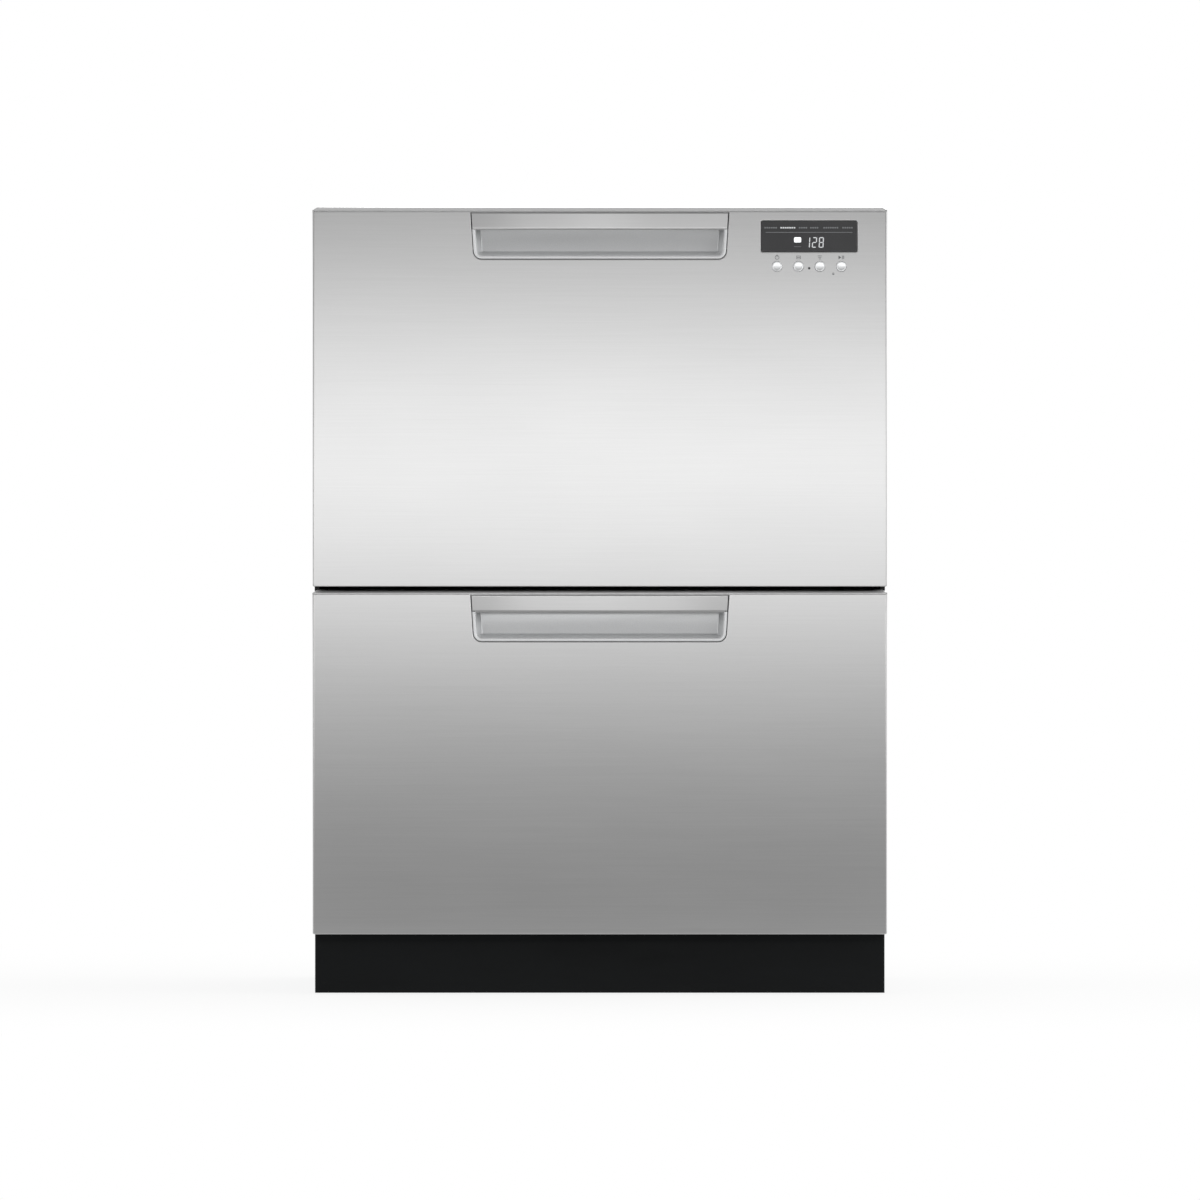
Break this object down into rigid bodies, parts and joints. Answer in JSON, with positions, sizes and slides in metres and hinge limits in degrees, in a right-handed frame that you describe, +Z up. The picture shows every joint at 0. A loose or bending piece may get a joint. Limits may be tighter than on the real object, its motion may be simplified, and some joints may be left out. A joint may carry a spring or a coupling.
{
  "type": "double drawer dishwasher",
  "caption": "Built-in dishwasher with stacked pull-out drawers in brushed stainless steel, recessed handles, a display with push buttons on the upper front and a black toe kick.",
  "frame": {"origin": "on the floor, in the middle of the footprint, buttons included", "axes": "+Z up; the drawer fronts face -Y and the drawers open along -Y; +X to the right as seen by someone facing the fronts"},
  "size_m": [0.599, 0.573, 0.82],
  "materials": {
    "stainless": "fine horizontal brushed grain, satin",
    "zinc_steel": "galvanised, dull",
    "black_steel": "black powder coat, low sheen",
    "coated_wire": "grey nylon coating, satin",
    "seal_rubber": "matt",
    "white_plastic": "moulded polypropylene, satin",
    "grey_plastic": "moulded, satin",
    "dark_plastic": "moulded, matt",
    "silver_plastic": "silver painted, satin",
    "display_acrylic": "smoked acrylic, gloss"
  },
  "bodies": {
    "chassis": {"side_panel_left": "zinc_steel", "side_panel_right": "zinc_steel", "top_panel": "zinc_steel", "back_panel": "zinc_steel", "base_pan": "zinc_steel", "crossmember": "zinc_steel", "front_seal": "seal_rubber", "toe_kick": "black_steel", "service_plate": "dark_plastic", "lower_lid_actuator_left": "dark_plastic", "lower_lid_actuator_right": "dark_plastic", "upper_lid_actuator_left": "dark_plastic", "upper_lid_actuator_right": "dark_plastic"},
    "lower_drawer": {"lower_front_panel": "stainless", "lower_front_liner": "dark_plastic", "lower_handle_pocket": "silver_plastic", "lower_handle_grip": "stainless", "lower_tub": "white_plastic", "lower_wash_motor": "dark_plastic", "lower_filter_plate": "stainless", "lower_dish_rack": "coated_wire", "lower_plate_insert": "coated_wire", "lower_cutlery_basket": "grey_plastic", "lower_runner_left_inner": "zinc_steel", "lower_runner_right_inner": "zinc_steel"},
    "lower_runner_left": {"lower_runner_left_middle": "zinc_steel"},
    "lower_runner_right": {"lower_runner_right_middle": "zinc_steel"},
    "lower_lid": {"lower_lid": "white_plastic", "lower_lid_seal": "seal_rubber"},
    "lower_spray_arm": {"lower_spray_arm": "grey_plastic"},
    "lower_cup_rack": {"lower_cup_rack": "coated_wire"},
    "lower_detergent_door": {"lower_detergent_door": "grey_plastic"},
    "upper_drawer": {"upper_front_panel": "stainless", "upper_front_liner": "dark_plastic", "upper_handle_pocket": "silver_plastic", "upper_handle_grip": "stainless", "upper_tub": "white_plastic", "upper_wash_motor": "dark_plastic", "upper_filter_plate": "stainless", "upper_dish_rack": "coated_wire", "upper_plate_insert": "coated_wire", "upper_cutlery_basket": "grey_plastic", "upper_runner_left_inner": "zinc_steel", "upper_runner_right_inner": "zinc_steel", "display_lens": "display_acrylic"},
    "upper_runner_left": {"upper_runner_left_middle": "zinc_steel"},
    "upper_runner_right": {"upper_runner_right_middle": "zinc_steel"},
    "upper_lid": {"upper_lid": "white_plastic", "upper_lid_seal": "seal_rubber"},
    "upper_spray_arm": {"upper_spray_arm": "grey_plastic"},
    "upper_cup_rack": {"upper_cup_rack": "coated_wire"},
    "upper_detergent_door": {"upper_detergent_door": "grey_plastic"},
    "button_power": {"button_power": "silver_plastic"},
    "button_drawer": {"button_drawer": "silver_plastic"},
    "button_programme": {"button_programme": "silver_plastic"},
    "button_start": {"button_start": "silver_plastic"},
    "foot_front_left": {"foot_front_left": "dark_plastic"},
    "foot_front_right": {"foot_front_right": "dark_plastic"},
    "foot_rear_left": {"foot_rear_left": "dark_plastic"},
    "foot_rear_right": {"foot_rear_right": "dark_plastic"}
  },
  "joints": [
    {"name": "lower_drawer_slide", "type": "slide", "parent": "chassis", "child": "lower_drawer", "axis": [0, -1, 0], "range_m": [0, 0.51]},
    {"name": "lower_runner_left_slide", "type": "slide", "parent": "chassis", "child": "lower_runner_left", "axis": [0, -1, 0], "range_m": [0, 0.255]},
    {"name": "lower_runner_right_slide", "type": "slide", "parent": "chassis", "child": "lower_runner_right", "axis": [0, -1, 0], "range_m": [0, 0.255]},
    {"name": "lower_lid_lift", "type": "slide", "parent": "chassis", "child": "lower_lid", "axis": [0, 0, 1], "range_m": [0, 0.012]},
    {"name": "lower_spray_arm_spin", "type": "hinge", "parent": "lower_drawer", "child": "lower_spray_arm", "pos_m": [0, -0.02135, 0.1315], "axis": [0, 0, 1], "continuous": true},
    {"name": "lower_cup_rack_fold", "type": "hinge", "parent": "lower_drawer", "child": "lower_cup_rack", "pos_m": [-0.2338, -0.02135, 0.2655], "axis": [0, -1, 0], "range_deg": [0, 85]},
    {"name": "lower_detergent_door_hinge", "type": "hinge", "parent": "lower_drawer", "child": "lower_detergent_door", "pos_m": [-0.07, -0.2196, 0.2795], "axis": [-1, 0, 0], "range_deg": [0, 90]},
    {"name": "upper_drawer_slide", "type": "slide", "parent": "chassis", "child": "upper_drawer", "axis": [0, -1, 0], "range_m": [0, 0.51]},
    {"name": "upper_runner_left_slide", "type": "slide", "parent": "chassis", "child": "upper_runner_left", "axis": [0, -1, 0], "range_m": [0, 0.255]},
    {"name": "upper_runner_right_slide", "type": "slide", "parent": "chassis", "child": "upper_runner_right", "axis": [0, -1, 0], "range_m": [0, 0.255]},
    {"name": "upper_lid_lift", "type": "slide", "parent": "chassis", "child": "upper_lid", "axis": [0, 0, 1], "range_m": [0, 0.012]},
    {"name": "upper_spray_arm_spin", "type": "hinge", "parent": "upper_drawer", "child": "upper_spray_arm", "pos_m": [0, -0.02135, 0.53], "axis": [0, 0, 1], "continuous": true},
    {"name": "upper_cup_rack_fold", "type": "hinge", "parent": "upper_drawer", "child": "upper_cup_rack", "pos_m": [-0.2338, -0.02135, 0.664], "axis": [0, -1, 0], "range_deg": [0, 85]},
    {"name": "upper_detergent_door_hinge", "type": "hinge", "parent": "upper_drawer", "child": "upper_detergent_door", "pos_m": [-0.07, -0.2196, 0.678], "axis": [-1, 0, 0], "range_deg": [0, 90]},
    {"name": "button_power_press", "type": "slide", "parent": "upper_drawer", "child": "button_power", "axis": [0, 1, 0], "range_m": [0, 0.001], "stiffness_N_per_m": 400},
    {"name": "button_drawer_press", "type": "slide", "parent": "upper_drawer", "child": "button_drawer", "axis": [0, 1, 0], "range_m": [0, 0.001], "stiffness_N_per_m": 400},
    {"name": "button_programme_press", "type": "slide", "parent": "upper_drawer", "child": "button_programme", "axis": [0, 1, 0], "range_m": [0, 0.001], "stiffness_N_per_m": 400},
    {"name": "button_start_press", "type": "slide", "parent": "upper_drawer", "child": "button_start", "axis": [0, 1, 0], "range_m": [0, 0.001], "stiffness_N_per_m": 400},
    {"name": "foot_front_left_level", "type": "slide", "parent": "chassis", "child": "foot_front_left", "axis": [0, 0, -1], "range_m": [0, 0.05]},
    {"name": "foot_front_right_level", "type": "slide", "parent": "chassis", "child": "foot_front_right", "axis": [0, 0, -1], "range_m": [0, 0.05]},
    {"name": "foot_rear_left_level", "type": "slide", "parent": "chassis", "child": "foot_rear_left", "axis": [0, 0, -1], "range_m": [0, 0.05]},
    {"name": "foot_rear_right_level", "type": "slide", "parent": "chassis", "child": "foot_rear_right", "axis": [0, 0, -1], "range_m": [0, 0.05]}
  ],
  "couplings": [
    {"joint": "lower_runner_left_slide", "follows": "lower_drawer_slide", "ratio": 0.5},
    {"joint": "lower_runner_right_slide", "follows": "lower_drawer_slide", "ratio": 0.5},
    {"joint": "upper_runner_left_slide", "follows": "upper_drawer_slide", "ratio": 0.5},
    {"joint": "upper_runner_right_slide", "follows": "upper_drawer_slide", "ratio": 0.5}
  ]
}
